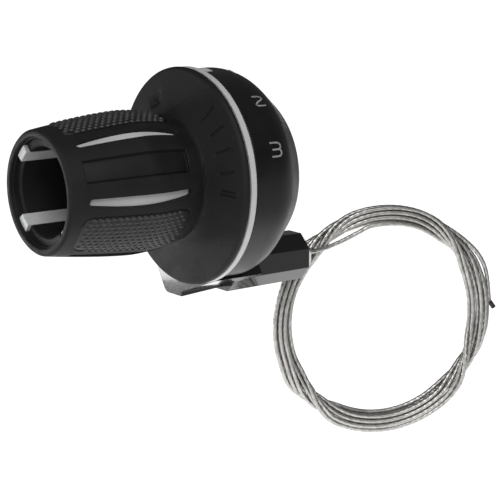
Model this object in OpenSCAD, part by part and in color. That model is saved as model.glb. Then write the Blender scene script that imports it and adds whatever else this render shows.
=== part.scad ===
// Left-hand three-speed twist-grip shifter with its coiled gear cable.
// X runs along the handlebar and points inboard, Z is up, -Y faces the rider.
// The origin is the middle of the housing's clamp bore, on the bar's axis.
// Clock angles are measured round the bar from the top towards the rider.

/* [Handlebar] */
// Outside diameter of the handlebar
bar_d = 22.2; // [21.8:0.1:22.6]
// Radial clearance between the clamp bore and the bar
clamp_clearance = 0.05; // [0.02:0.01:0.1]
// Radial clearance between the turning barrel and the bar
barrel_clearance = 0.08; // [0.04:0.01:0.1]

/* [Rubber sleeve] */
// Length of the rubber from its open end to the back of its flare
sleeve_len = 44.2; // [42:0.2:60]
// Radius at the open end
mouth_r = 15.5; // [15.2:0.1:17]
// Radius at the crown of the palm swell
crown_r = 18.05; // [17.6:0.05:19]
// Distance of the crown from the open end
crown_at = 24; // [21:0.5:27]
// Radius of the waist in front of the flare
waist_r = 16; // [15.6:0.1:16.8]
// Width of the flare from the waist to its flat back
flare_w = 5.7; // [5:0.1:7]
// Height of the flare's rim over the drum
flare_over = 0.8; // [-1.2:0.1:2.8]
// Thickness of the flare at its rounded rim
flare_rim = 2; // [1.6:0.1:2.4]
// Depth of the mouth in front of the barrel's fingers
mouth_step = 1; // [0.6:0.1:1.6]

/* [Sleeve pattern] */
// Number of pad, slot and plate groups round the sleeve
groups = 3; // [2:1:3]
// Clock angle of the first bare plate
plate_clock = 66; // [60:1:72]
// Half the angle that a plate spans
plate_half = 10; // [7:0.5:11]
// Depth of the recessed plates
plate_depth = 0.4; // [0.2:0.1:0.6]
// Angle from a plate's middle to the leaf slots beside it
leaf_offset = 29; // [26:0.5:31]
// Widest width of a leaf slot
leaf_w = 2.9; // [2:0.1:3.4]
// Width at the ends of a leaf slot as a share of its widest width
leaf_end = 0.58; // [0.45:0.01:0.8]
// Distance from the open end to the leaves and plates
pattern_start = 5; // [4:0.5:8]
// Length of the leaves and plates
pattern_len = 29; // [24:0.5:32]
// Half the angle that a ribbed pad spans
pad_half = 19.5; // [15:0.5:20.5]
// Pitch of the pad's ribs
rib_pitch = 1.8; // [1.4:0.1:3]
// Height of the pad's ribs
rib_h = 0.35; // [0.2:0.05:0.6]

/* [Barrel] */
// Outside radius of the barrel that carries the rubber
barrel_r = 13.3; // [13:0.1:13.6]
// Radius of the barrel's hub under the flare
hub_r = 14.4; // [13.8:0.1:15]
// Length of the barrel's split end, where rubber keys fill the gaps
finger_len = 22; // [6:0.5:28]
// Angle that each of the four fingers spans
finger_span = 18; // [12:1:30]
// Distance of the ring's edge from the flare's rim
ring_inset = 0.1; // [0:0.1:1.5]
// Thickness of the ring
ring_t = 1.6; // [1.2:0.1:2.4]
// Clock angle of the gear pointer at rest
pointer_clock = 9; // [5:1:15]
// Angle that the pointer spans
pointer_span = 5; // [4:0.5:8]
// Reach of the pointer over the drum
pointer_reach = 2.2; // [1.5:0.1:4]
// Thickness of the pointer
pointer_t = 0.5; // [0.4:0.1:0.8]

/* [Cable spool] */
// Radius of the spool's groove, where the cable lies
groove_r = 18; // [17:0.1:18.4]
// Radius of the flanges beside the groove
spool_flange_r = 21; // [20.4:0.1:21.6]
// Width of the groove
groove_w = 2; // [1.9:0.1:2.4]
// Distance of the groove's middle from the clamp's middle
groove_at = 12; // [11.6:0.1:12.4]
// Wall between the barrel and the spool's relief
spool_hub_wall = 1.6; // [1.2:0.1:2]
// Width of the two keys that join spool and barrel
key_w = 3; // [2:0.2:4]
// Height of the keys over the barrel
key_h = 1.1; // [0.8:0.1:1.2]
// Angle between two gears
gear_step = 30; // [24:1:32]
// Radius of the detent ring
detent_r = 18; // [17.4:0.1:18.2]
// Depth of a detent notch
notch_depth = 0.9; // [0.6:0.1:1.1]

/* [Drum housing] */
// Outside radius of the drum
drum_r = 27.2; // [26.6:0.1:28]
// Length of the drum from its mouth to its end face
drum_len = 20.2; // [19.6:0.1:21]
// Distance of the drum's end face from the clamp's middle
face_at = 1.9; // [1.6:0.1:3]
// Distance of the shoulder, where the drum starts to narrow, from the end face
shoulder_back = 10; // [9:0.1:11]
// Slope of the drum's shoulder against the bar
shoulder_angle = 40; // [34:1:44]
// Wall thickness of the drum
drum_wall = 2; // [1.6:0.1:2.4]
// Gap between the ring and the drum's mouth
mouth_gap = 0.4; // [0.3:0.05:0.8]
// Gap between parts that turn against each other
running_gap = 0.3; // [0.25:0.05:0.5]

/* [Clamp] */
// Length of the clamp bore along the bar
clamp_len = 9; // [8:0.5:10]
// Wall of the clamp collar
collar_wall = 2.3; // [1.8:0.1:2.6]
// Width of the slit that the screw closes
slit_w = 1.6; // [1:0.1:2.4]
// Distance of the clamp screw from the bar's axis
screw_off = 18; // [17:0.1:19]
// Thread diameter of the clamp screw
screw_d = 4; // [3:0.5:4]
// Height of each clamp ear
ear_h = 5.8; // [5:0.1:6.4]
// Width across the square nut
nut_w = 7; // [6:0.1:7]
// Thickness of the square nut
nut_t = 3.2; // [2.4:0.1:3.4]

/* [Guide cover] */
// Depth of the chin's flat bottom below the drum
chin_drop = 5.8; // [4.8:0.2:6.8]
// Length of the chin along the bar
chin_len = 15; // [14:0.2:16]
// How much the chin's bottom rises towards the nose
chin_rise = 1.1; // [0.4:0.1:1.4]
// Wall of the chin
chin_wall = 1.8; // [1.4:0.1:2.2]
// Height of the step at the chin's rear edge
chin_step = 1.3; // [0.8:0.1:1.8]
// Forward distance of the cable nose from the bar's axis
nose_y = 6; // [6:0.5:6]
// Depth of the cable nose below the bar's axis
nose_z = 26.4; // [26.4:0.2:26.4]
// Length of the nose beyond the chin
nose_len = 25.6; // [23:0.2:28]
// Width across the nose's flats at its root
nose_root = 13.2; // [12.6:0.2:14]
// Width across the nose's flats at its end
nose_end = 12.6; // [11:0.2:12.8]
// Length of the chamfer at the nose's end
nose_chamfer = 2.6; // [1.6:0.2:3]
// Thickness of the lip that hugs the drum round the nose
nose_lip_t = 0.6; // [0.4:0.1:1]
// Reach of the lip beyond the nose
nose_lip_w = 0.9; // [0.4:0.1:1.4]
// Diameter of the cable casing that seats in the nose
casing_d = 5; // [4:0.5:5]
// Depth of the casing's seat
casing_depth = 8; // [5:0.5:9]

/* [Cable] */
// Diameter of the inner cable
cable_d = 1.2; // [1.1:0.1:1.2]
// Diameter of the cable's head
head_d = 4.4; // [4:0.1:4.6]
// Length of the cable's head
head_len = 4.6; // [4:0.1:5]
// Mean radius of the coil
coil_r = 30.1; // [30.1:0.1:30.1]
// Radial width of the coil's band of turns
coil_band = 5.6; // [5.6:0.1:5.6]
// Thickness of the coil across its turns
coil_t = 4; // [4:0.1:4]

/* [Hidden] */
$fn = 96;

bar_r = bar_d / 2;
clamp_r = bar_r + clamp_clearance;
bore_r = bar_r + barrel_clearance;
collar_r = clamp_r + collar_wall;
flare_r = drum_r + flare_over;
ring_r = flare_r - ring_inset;

// Stations along the bar, from the clamp outwards
web_x = -clamp_len / 2;
drum_x = face_at - drum_len;
ring_x = drum_x - mouth_gap;
flare_x = ring_x - ring_t;
open_x = flare_x - sleeve_len;
collar_x = clamp_len / 2 + 0.5;

// Pieces stacked between the clamp's web and the drum's mouth
washer_t = 0.8;
washer_r = 16;
barrel_end_x = web_x - washer_t - running_gap;
retainer_t = 1;
spool_x0 = drum_x + retainer_t + running_gap;
groove_x = -groove_at;
spool_x1 = groove_x + groove_w / 2 + 2.2;
detent_w = 2.4;
detent_x1 = spool_x1 + detent_w;
seat_gap = 0.05;

// Drum shoulder and cavity
shoulder_x = face_at - shoulder_back;
shoulder_r_at_face = drum_r - shoulder_back * tan(shoulder_angle);
shoulder_round = 11;
face_round = 4;
cavity_r = drum_r - drum_wall;
cavity_shoulder_x = shoulder_x - drum_wall * tan(shoulder_angle / 2);
cavity_end_r = cavity_r - (web_x - cavity_shoulder_x) * tan(shoulder_angle);
retainer_w = 6.4;
retainer_inner_r = cavity_r - retainer_w;

// Clamp ears and screw
ear_x0 = web_x + 2.5;
ear_x1 = collar_x;
ear_x = (ear_x0 + ear_x1) / 2;
ear_y0 = clamp_r + 0.6;
ear_y1 = screw_off + screw_d / 2 + 2.2;
ear_top = slit_w / 2 + ear_h;
screw_head_r = screw_d * 0.86;
screw_head_h = screw_d;
screw_play = 0.15;
ear_pocket_gap = 1.2;

// Detent spring
spring_t = 0.4;
spring_w = 1.6;
spring_inset = 19.2;
spring_reach = drum_r - spring_inset;
spring_top = detent_r + 1.8;
spring_x = detent_x1 - detent_w / 2;

// Chin and nose
chin_x0 = drum_x - 0.2;
chin_depth = drum_r + chin_drop;
chin_x1 = chin_x0 + chin_len;
nose_tip_x = chin_x1 + nose_len;
nose_root_x = chin_x1 - 1.8;
cover_gap = 0.1;
octagon = 1 / cos(22.5);
cable_hole_r = cable_d / 2 + 0.25;
window_back = 1.6;
window_len = 8.8;

// Cover screws: distance along the bar and forward of its axis
cover_screw_r = 1.1;
cover_screw_head_r = 1.7;
cover_screw_head_h = 1.4;
cover_screw_spots = [[chin_x0 + 2.7, 9, chin_depth - 0.2], [chin_x0 + 11.5, 1.2, chin_depth - 2.6]];
cover_screw_tip_r = cavity_r + 0.25;

// Hand-set route of the cable from the spool, through the liner, to the nose's end
wrap_r = groove_r + cable_d / 2 + seat_gap;
cable_route = [[groove_x, wrap_r, -0.3], [groove_x, wrap_r, -6], [groove_x, wrap_r - 0.1, -11],
               [-11.6, 17.9, -16],
               [-10.2, 15.9, -20.2], [-7.4, 12.6, -23.6], [-3.6, 9.2, -25.6], [0.8, 6.8, -26.3],
               [5, 6, -26.4], [12, 6, -26.4]];
lead_route = [[22.6, 6, -26.4], [26, 6, -26.4], [29.7, 5.9, -26], [33.4, 5.5, -25.1], [37.1, 4.8, -23.8],
              [40.7, 4, -22.3], [43.7, 3.1, -21]];
tail_route = [[77.1, -6.3, -40.2], [78.3, -6.7, -42.4], [79.4, -7, -44.1], [80.3, -7.3, -45.4]];
liner_r = 1.2;
liner_start = 3;
liner_end = 8;
head_clock = -54;
wrap_from = head_clock - 8;
tip_len = 2.4;

// Coil of spare cable
coil_centre = [48.5, 3, -48];
coil_turn = -18;

function arc(cx, cy, r, a0, a1, n) =
    [for (i = [0 : n]) let (a = a0 + (a1 - a0) * i / n) [cx + r * cos(a), cy + r * sin(a)]];

// Corner of a path rounded by an arc of radius r in n steps
function corner(p, c, q, r, n) =
    let (u = (p - c) / norm(p - c), v = (q - c) / norm(q - c),
         half = acos(u * v) / 2,
         m = c + (u + v) / norm(u + v) * r / sin(half),
         s = c + u * r / tan(half) - m,
         e = c + v * r / tan(half) - m,
         a0 = atan2(s[1], s[0]),
         turn = atan2(s[0] * e[1] - s[1] * e[0], s * e))
    [for (i = [0 : n]) m + r * [cos(a0 + turn * i / n), sin(a0 + turn * i / n)]];

// Smooth curve through hand-set points, with n steps between two of them
function spline(p, n) =
    let (last = len(p) - 1)
    [for (i = [0 : last - 1], k = [0 : n - 1])
        let (t = k / n,
             a = i == 0 ? 2 * p[0] - p[1] : p[i - 1],
             d = i == last - 1 ? 2 * p[last] - p[last - 1] : p[i + 2],
             b = p[i], c = p[i + 1])
        0.5 * ((2 * b) + (c - a) * t + (2 * a - 5 * b + 4 * c - d) * t * t
            + (3 * b - a - 3 * c + d) * t * t * t),
     p[last]];

function unit(v) = v / norm(v);

function direction(path, i) =
    unit(path[min(i + 1, len(path) - 1)] - path[max(i - 1, 0)]);

// Round tube swept along a path, as one closed polyhedron
module tube(path, r, sides) {
    last = len(path) - 1;
    ring = [for (i = [0 : last])
        let (d = direction(path, i),
             helper = abs(d[1]) > 0.9 ? [0, 0, 1] : [0, 1, 0],
             u = unit(cross(d, helper)),
             v = cross(d, u))
        for (k = [0 : sides - 1])
            path[i] + r * (cos(360 * k / sides) * u + sin(360 * k / sides) * v)];
    side_faces = [for (i = [0 : last - 1], k = [0 : sides - 1])
        let (a = i * sides + k, b = i * sides + (k + 1) % sides)
        each [[a, a + sides, b + sides], [a, b + sides, b]]];
    polyhedron(ring, concat(side_faces,
        [[for (k = [0 : sides - 1]) k]],
        [[for (k = [sides - 1 : -1 : 0]) last * sides + k]]));
}

// Revolves a profile of [radius, x] points about the bar's axis
module round_bar(from = 0, span = 360) {
    rotate([from + 180, 0, 0])
        rotate([0, 90, 0])
            rotate_extrude(angle = span)
                children();
}

module ring_x(x0, x1, r0, r1, from = 0, span = 360) {
    round_bar(from, span)
        translate([r0, x0])
            square([r1 - r0, x1 - x0]);
}

module rod_x(x0, x1, r) {
    translate([x0, 0, 0])
        rotate([0, 90, 0])
            cylinder(h = x1 - x0, r = r);
}

module clock(angle) {
    rotate([angle, 0, 0])
        children();
}

// Outside radius of the sleeve at a distance s from its open end
function sleeve_r(s) =
    let (waist_at = sleeve_len - flare_w)
    s < crown_at
        ? crown_r - (crown_r - mouth_r) * pow((crown_at - s) / crown_at, 1.4)
        : crown_r - (crown_r - waist_r) * pow((s - crown_at) / (waist_at - crown_at), 1.8);

function sleeve_side(s0, s1, n, lift) =
    [for (i = [0 : n]) let (s = s0 + (s1 - s0) * i / n) [sleeve_r(s) + lift, open_x + s]];

function flare_side(n) =
    let (waist_at = sleeve_len - flare_w, rim = flare_rim / 2,
         top = flare_r - rim, w = flare_w - flare_rim)
    [for (i = [1 : n]) let (t = i / n)
        [waist_r + (top - waist_r) * t, open_x + waist_at + w * pow(t, 0.6)]];

function flare_rim_round() =
    let (rim = flare_rim / 2)
    arc(flare_r - rim, flare_x - rim, rim, -90, 90, 8);

// Outline of a leaf slot: straight beside the plate, bowed beside the pad, with round ends
function leaf(w, play) =
    let (x0 = open_x + pattern_start, end_r = 0.9,
         runs = [0, 0.05, 0.2, 0.5, 0.9, 2, 4.5, 8, 12, pattern_len / 2],
         last = len(runs) - 1,
         along = concat(runs, [for (i = [last - 1 : -1 : 0]) pattern_len - runs[i]]),
         edge = [for (s = along)
             let (full = w * (leaf_end + (1 - leaf_end) * sin(180 * s / pattern_len)),
                  near = min(s, pattern_len - s) / end_r,
                  tip = sqrt(1 - pow(1 - min(near, 1), 2)),
                  middle = w / 2 - full / 2,
                  half = max(full / 2 * tip - play, 0.05))
             [x0 + min(max(s, play), pattern_len - play), middle + half, middle - half]])
    concat([for (e = edge) [e[0], e[1]]],
        [for (i = [len(edge) - 1 : -1 : 0]) [edge[i][0], edge[i][2]]]);

module leaf_prism(w, play) {
    translate([0, 0, barrel_r - 1])
        linear_extrude(height = crown_r)
            polygon(leaf(w, play));
}

module each_leaf() {
    for (g = [0 : groups - 1], side = [-1, 1])
        clock(plate_clock + 360 / groups * g + side * leaf_offset)
            scale([1, side, 1])
                children();
}

module sleeve_body() {
    mouth_round = 0.6;
    round_bar()
        polygon(concat(
            [[hub_r + seat_gap, flare_x], [hub_r + seat_gap, flare_x - flare_w - seat_gap],
             [barrel_r + seat_gap, flare_x - flare_w - seat_gap], [barrel_r + seat_gap, open_x + mouth_step],
             [mouth_r - 1.8, open_x + mouth_step], [mouth_r - 1.8, open_x + 0.3],
             [mouth_r - 1.5, open_x], [mouth_r - mouth_round, open_x]],
            sleeve_side(mouth_round, sleeve_len - flare_w, 26, 0),
            flare_side(10),
            flare_rim_round()));
}

// One pad of ribs that follow the sleeve's swell
module pad(middle) {
    s0 = pattern_start - 1;
    count = floor((pattern_len + 1.5) / rib_pitch);
    crest = [for (i = [0 : count - 1])
        let (s = s0 + i * rib_pitch, foot = -0.3)
        each [[sleeve_r(s) + foot, open_x + s],
              [sleeve_r(s) + rib_h, open_x + s + rib_pitch * 0.2],
              [sleeve_r(s) + rib_h, open_x + s + rib_pitch * 0.6],
              [sleeve_r(s) + foot, open_x + s + rib_pitch * 0.8]]];
    round_bar(middle - pad_half, 2 * pad_half)
        polygon(concat(crest, [[barrel_r + 1, open_x + s0 + count * rib_pitch],
            [barrel_r + 1, open_x + s0]]));
}

module rubber_cover() color("#262628") {
    key_gap = 1;
    tick_clocks = [38, 52, 66, 80, 92, 94.6];
    tick_w = 0.5;
    dip_r0 = 19.4;
    dip_r1 = 22.4;
    dip_from = -34;
    dip_span = 17;
    dip_depth = 0.9;
    difference() {
        union() {
            difference() {
                sleeve_body();
                for (g = [0 : groups - 1])
                    round_bar(plate_clock - plate_half + 360 / groups * g, 2 * plate_half)
                        polygon(concat(
                            sleeve_side(pattern_start, pattern_start + pattern_len, 12, -plate_depth),
                            [[crown_r + 2, open_x + pattern_start + pattern_len],
                             [crown_r + 2, open_x + pattern_start]]));
            }
            for (g = [0 : groups - 1])
                pad(plate_clock + 360 / groups * (g + 0.5));
            for (k = [0 : 3])
                ring_x(open_x + 2 * mouth_step, open_x + mouth_step + finger_len - 0.2,
                    bore_r + seat_gap, barrel_r + 0.4,
                    45 + 90 * k + finger_span / 2 + key_gap / 2, 90 - finger_span - key_gap);
        }
        each_leaf()
            leaf_prism(leaf_w, 0);
        for (a = tick_clocks)
            clock(a)
                translate([flare_x - 6, -tick_w / 2, 19.5])
                    cube([6 - flare_rim, tick_w, 5]);
        ring_x(flare_x - 6, flare_x - flare_rim - dip_depth, dip_r0, dip_r1, dip_from, dip_span);
    }
}

module pointer() {
    round_bar(pointer_clock - pointer_span / 2, pointer_span)
        polygon([[ring_r - 0.4, ring_x - ring_t], [drum_r + running_gap + pointer_t, ring_x - ring_t],
                 [drum_r + running_gap + pointer_t, drum_x + pointer_reach * 0.6],
                 [drum_r + running_gap + pointer_t * 0.5, drum_x + pointer_reach],
                 [drum_r + running_gap, drum_x + pointer_reach],
                 [drum_r + running_gap, ring_x - 0.4], [ring_r - 0.4, ring_x - 0.4]]);
}

module grip_barrel() color("#c9cbcc") {
    leaf_play = 0.1;
    leaf_sink = 0.5;
    finger_root = open_x + mouth_step + finger_len;
    difference() {
        union() {
            ring_x(open_x + mouth_step, barrel_end_x, bore_r, barrel_r);
            ring_x(flare_x, flare_x + ring_t, bore_r, ring_r);
            ring_x(flare_x - flare_w, flare_x + 0.1, bore_r, hub_r);
            pointer();
            for (a = [0, 180])
                clock(a)
                    translate([flare_x + ring_t - 0.1, -key_w / 2, barrel_r - 0.4])
                        cube([detent_x1 - flare_x - ring_t - 1, key_w, key_h + 0.4]);
            intersection() {
                round_bar()
                    polygon(concat(
                        sleeve_side(pattern_start, pattern_start + pattern_len, 12, -leaf_sink),
                        [[barrel_r - 0.4, open_x + pattern_start + pattern_len],
                         [barrel_r - 0.4, open_x + pattern_start]]));
                each_leaf()
                    leaf_prism(leaf_w, leaf_play);
            }
        }
        for (k = [0 : 3])
            ring_x(open_x, finger_root, bore_r - 1, barrel_r + 1,
                45 + 90 * k + finger_span / 2, 90 - finger_span);
    }
}

module cable_spool() color("#e4e2da") {
    play = 0.1;
    relief_r0 = barrel_r + key_h + spool_hub_wall;
    relief_r1 = groove_r - 0.9;
    pocket_r = head_d / 2 + 0.1;
    difference() {
        union() {
            ring_x(spool_x0, spool_x1, barrel_r + play, spool_flange_r);
            ring_x(spool_x1 - 0.1, detent_x1, barrel_r + play, detent_r);
        }
        ring_x(groove_x - groove_w / 2, groove_x + groove_w / 2, groove_r, spool_flange_r + 1);
        for (k = [0 : 7])
            ring_x(spool_x0 - 1, spool_x0 + 2.6, relief_r0, relief_r1, 22.5 + 45 * k + 5, 35);
        for (a = [0, 180])
            clock(a)
                translate([spool_x0 - 1, -key_w / 2 - play, 0])
                    cube([detent_x1 - spool_x0 + 2, key_w + 2 * play, barrel_r + key_h + play]);
        rod_x(spool_x0 - 1, detent_x1 + 1, barrel_r + play);
        for (g = [0 : 2])
            clock(-gear_step * g)
                translate([spool_x1 + 0.05, 0, detent_r - notch_depth])
                    rotate([45, 0, 0])
                        cube([detent_w, 4, 4]);
        clock(head_clock)
            translate([groove_x, 0, wrap_r])
                rotate([90, 0, 0])
                    cylinder(h = head_len + 0.2, r = pocket_r, center = true);
        clock(head_clock)
            translate([groove_x - pocket_r, -head_len / 2 - 0.1, wrap_r])
                cube([2 * pocket_r, head_len + 0.2, 5]);
    }
}

module cable_head() color("#b9a26a") {
    clock(head_clock)
        translate([groove_x, 0, wrap_r])
            rotate([90, 0, 0])
                cylinder(h = head_len, r = head_d / 2, center = true);
}

module cable_wrap() color("#c4c6c8") {
    round_bar(-90, wrap_from + 90)
        translate([wrap_r, groove_x])
            circle(r = cable_d / 2, $fn = 24);
}

module retaining_ring() color("#9a9c9e") {
    ring_x(drum_x + 0.1, drum_x + retainer_t, retainer_inner_r, cavity_r - seat_gap);
}

function drum_outline() =
    let (r_face = shoulder_r_at_face, mouth_round = 0.4)
    concat([[drum_r - mouth_round, drum_x], [drum_r, drum_x + mouth_round]],
        corner([drum_r, drum_x], [drum_r, shoulder_x], [r_face, face_at], shoulder_round, 10),
        corner([drum_r, shoulder_x], [r_face, face_at], [0, face_at], face_round, 6));

module drum_solid(grow) {
    round_bar()
        polygon(concat(
            [[0, drum_x - 1], [drum_r + grow, drum_x - 1]],
            corner([drum_r + grow, drum_x], [drum_r + grow, shoulder_x + grow * 0.36],
                [shoulder_r_at_face + grow, face_at + grow * 0.36], shoulder_round, 10),
            corner([drum_r + grow, shoulder_x], [shoulder_r_at_face + grow, face_at + grow],
                [0, face_at + grow], face_round, 6),
            [[0, face_at + grow]]));
}

module clamp_ears(grow) {
    for (side = [-1, 1])
        translate([ear_x0 - grow, ear_y0, side > 0 ? slit_w / 2 : -ear_top - grow])
            cube([ear_x1 - ear_x0 + 2 * grow, ear_y1 - ear_y0 + grow, ear_h + grow]);
}

module screw_posts() {
    for (s = cover_screw_spots)
        translate([s[0], s[1], -s[2] + 0.6])
            cylinder(h = 8, r = cover_screw_head_r + 0.9);
}

module cover_screw_holes(r) {
    for (s = cover_screw_spots)
        translate([s[0], s[1], -s[2] - 1])
            cylinder(h = 14, r = r, $fn = 32);
}

// Way of the liner through the drum's wall and into the cover
module liner_way() {
    tube(spline([for (i = [2 : 8]) cable_route[i]], 2), liner_r + 0.15, 12);
}

module drum_housing() color("#2b2c2f") {
    pocket_x = web_x + 1.5;
    difference() {
        union() {
            difference() {
                round_bar()
                    polygon(concat([[0, drum_x]], drum_outline(), [[0, face_at]]));
                // Space for the ring, the spool and the detent
                round_bar()
                    polygon([[0, drum_x - 1], [cavity_r, drum_x - 1], [cavity_r, cavity_shoulder_x],
                             [cavity_end_r, web_x], [0, web_x]]);
                // Pocket that frees the clamp ears from the drum
                difference() {
                    translate([pocket_x, 4, -ear_top - ear_pocket_gap])
                        cube([10, drum_r, 2 * ear_top + 2 * ear_pocket_gap + screw_head_h]);
                    rod_x(web_x, collar_x + 5, collar_r + 0.6);
                }
            }
            rod_x(web_x, collar_x, collar_r);
            difference() {
                clamp_ears(0);
                rod_x(web_x, collar_x + 1, clamp_r + 0.3);
            }
            // Seats of the detent spring's two ends
            intersection() {
                for (side = [-1, 1])
                    translate([spool_x1 + running_gap, side * (spring_reach - 1) - 1.5, spring_top])
                        cube([web_x - spool_x1, 3, 8]);
                drum_solid(-0.4);
            }
        }
        rod_x(web_x - 1, collar_x + 1, clamp_r);
        translate([web_x - 1, 4, -slit_w / 2])
            cube([collar_x - web_x + 2, drum_r, slit_w]);
        translate([ear_x, screw_off, -ear_top - 1])
            cylinder(h = 2 * ear_top + 2, r = screw_d / 2 + screw_play, $fn = 48);
        translate([ear_x - nut_w / 2 - 0.05, screw_off - nut_w / 2 - 0.05, -ear_top - 1])
            cube([nut_w + 0.1, nut_w + 0.1, nut_t + 1]);
        // Window where the cable leaves for the guide cover
        translate([groove_x - window_back, 6.5, -drum_r])
            cube([window_len, 12.8, 12.5]);
        liner_way();
        cover_screw_holes(cover_screw_r + 0.05);
    }
}

module thrust_washer() color("#dcdcd4") {
    ring_x(web_x - washer_t, web_x, clamp_r + 0.5, washer_r);
}

// Leaf spring whose nose drops into a notch of the detent ring
module detent_spring() color("#8f9296") {
    nose_z0 = detent_r - notch_depth + 0.35;
    outline = concat(
        [[-spring_reach, spring_top], [-spring_reach + 2.4, spring_top], [-1.4, nose_z0 + 1.5],
         [0, nose_z0 + 0.5], [1.4, nose_z0 + 1.5], [spring_reach - 2.4, spring_top],
         [spring_reach, spring_top]],
        [[spring_reach, spring_top - spring_t], [spring_reach - 2.6, spring_top - spring_t],
         [1.4, nose_z0 + 1.1], [0, nose_z0], [-1.4, nose_z0 + 1.1],
         [-spring_reach + 2.6, spring_top - spring_t], [-spring_reach, spring_top - spring_t]]);
    translate([spring_x - spring_w / 2, 0, 0])
        rotate([90, 0, 90])
            linear_extrude(height = spring_w)
                polygon(outline);
}

module clamp_screw() color("#a9abad") {
    hex_w = screw_d * 0.75;
    translate([ear_x, screw_off, 0])
        difference() {
            union() {
                translate([0, 0, ear_top])
                    cylinder(h = screw_head_h, r = screw_head_r);
                translate([0, 0, -ear_top - 0.5])
                    cylinder(h = 2 * ear_top + 1, r = screw_d / 2);
            }
            translate([0, 0, ear_top + screw_head_h * 0.45])
                cylinder(h = screw_head_h, r = hex_w / 2 / cos(30), $fn = 6);
        }
}

module clamp_nut() color("#a9abad") {
    translate([ear_x, screw_off, -ear_top])
        difference() {
            translate([-nut_w / 2, -nut_w / 2, 0])
                cube([nut_w, nut_w, nut_t - 0.05]);
            translate([0, 0, -1])
                cylinder(h = nut_t + 2, r = screw_d / 2 + 0.02);
        }
}

// Chin's section, seen along the bar as [forward, up], moved in by a wall
function chin_section(w) =
    concat([[19, -14], [20.6 - w, -17.2], [18.6 - w, -21.6], [17.4 - w, -24.4]],
        corner([17.4 - w, -24.4], [16.1 - w, -28], [12.6 - w, -chin_depth + w], 9, 4),
        corner([15.4 - w, -29], [12.9 - w, -chin_depth + w], [5.5, -chin_depth + w], 2.6 - w / 2, 5),
        [[5.5 + w, -chin_depth + w], [5.5 + w, -chin_depth + chin_step + w],
         [-9.8 + w * 2, -26.2 + w * 0.4], [-6, -20]]);

module chin(w) {
    translate([chin_x0 + w, 0, 0])
        rotate([90, 0, 90])
            linear_extrude(height = chin_len - 2 * w)
                polygon(chin_section(w));
}

// Chin with its bottom rising towards the nose
module risen_chin(w) {
    low = -chin_depth + w;
    slope = chin_rise / chin_len;
    difference() {
        chin(w);
        translate([0, 30, 0])
            rotate([90, 0, 0])
                linear_extrude(height = 60)
                    polygon([[chin_x0 - 1, low - slope], [chin_x1 + 1, low + chin_rise + slope],
                             [chin_x1 + 1, low - 3], [chin_x0 - 1, low - 3]]);
    }
}

module nose() {
    body_len = nose_tip_x - nose_chamfer - nose_root_x;
    tip_w = nose_end - 4.8;
    translate([nose_root_x, nose_y, -nose_z])
        rotate([0, 90, 0])
            rotate([0, 0, 22.5]) {
                cylinder(h = body_len, r1 = nose_root / 2 * octagon, r2 = nose_end / 2 * octagon, $fn = 8);
                translate([0, 0, body_len])
                    cylinder(h = nose_chamfer, r1 = nose_end / 2 * octagon,
                        r2 = tip_w / 2 * octagon, $fn = 8);
            }
}

// Thin lip of the cover that hugs the drum's shoulder round the nose
module nose_lip() {
    intersection() {
        drum_solid(cover_gap + nose_lip_t);
        translate([nose_root_x, nose_y, -nose_z])
            rotate([0, 90, 0])
                rotate([0, 0, 22.5])
                    cylinder(h = 12, r = (nose_root / 2 + nose_lip_w) * octagon, $fn = 8);
    }
}

module guide_cover() color("#1d1e21") {
    difference() {
        union() {
            difference() {
                risen_chin(0);
                risen_chin(chin_wall);
            }
            intersection() {
                risen_chin(0);
                screw_posts();
            }
            nose();
            nose_lip();
        }
        drum_solid(cover_gap);
        cover_screw_holes(cover_screw_r + 0.1);
        for (s = cover_screw_spots)
            translate([s[0], s[1], -s[2] - 3])
                cylinder(h = cover_screw_head_h + 3, r = cover_screw_head_r + 0.1);
        // Way of the cable through the nose
        translate([chin_x1 - 8, nose_y, -nose_z])
            rotate([0, 90, 0])
                cylinder(h = nose_len + 12, r = cable_hole_r, $fn = 32);
        liner_way();
        translate([nose_tip_x - casing_depth, nose_y, -nose_z])
            rotate([0, 90, 0])
                cylinder(h = casing_depth + 1, r = casing_d / 2 + 0.05);
    }
}

module cover_screws() color("#8d9094") {
    slot_w = 0.6;
    for (s = cover_screw_spots)
        difference() {
            tip_z = -sqrt(cover_screw_tip_r * cover_screw_tip_r - s[1] * s[1]);
            union() {
                translate([s[0], s[1], -s[2]])
                    cylinder(h = cover_screw_head_h, r = cover_screw_head_r);
                translate([s[0], s[1], -s[2]])
                    cylinder(h = tip_z + s[2], r = cover_screw_r, $fn = 32);
            }
            for (turn = [0, 90])
                translate([s[0], s[1], -s[2]])
                    rotate([0, 0, turn])
                        cube([2.6, slot_w, 1.2], center = true);
        }
}

module guide_liner() color("#f0efe8") {
    path = spline([for (i = [liner_start : liner_end]) cable_route[i]], 2);
    n = len(path) - 1;
    difference() {
        tube(path, liner_r, 12);
        tube(concat([path[0] + 0.5 * unit(path[0] - path[1])],
            [for (i = [1 : n - 1]) path[i]],
            [path[n] + 0.5 * unit(path[n] - path[n - 1])]), cable_d / 2 + 0.15, 8);
    }
}

module inner_cable() color("#c4c6c8") {
    tube(concat(spline(cable_route, 2), [[nose_tip_x, nose_y, -nose_z]]), cable_d / 2, 8);
}

// Soft plug that keeps dirt out of the empty casing seat
module nose_seal() color("#303134") {
    translate([nose_tip_x - casing_depth, nose_y, -nose_z])
        rotate([0, 90, 0])
            difference() {
                cylinder(h = 2, r = casing_d / 2);
                translate([0, 0, -1])
                    cylinder(h = 4, r = cable_d / 2 + 0.1, $fn = 32);
            }
}

module cable_lead() color("#c4c6c8") {
    tube(concat([[nose_tip_x, nose_y, -nose_z]], spline(lead_route, 2)), cable_d / 2, 8);
}

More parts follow.
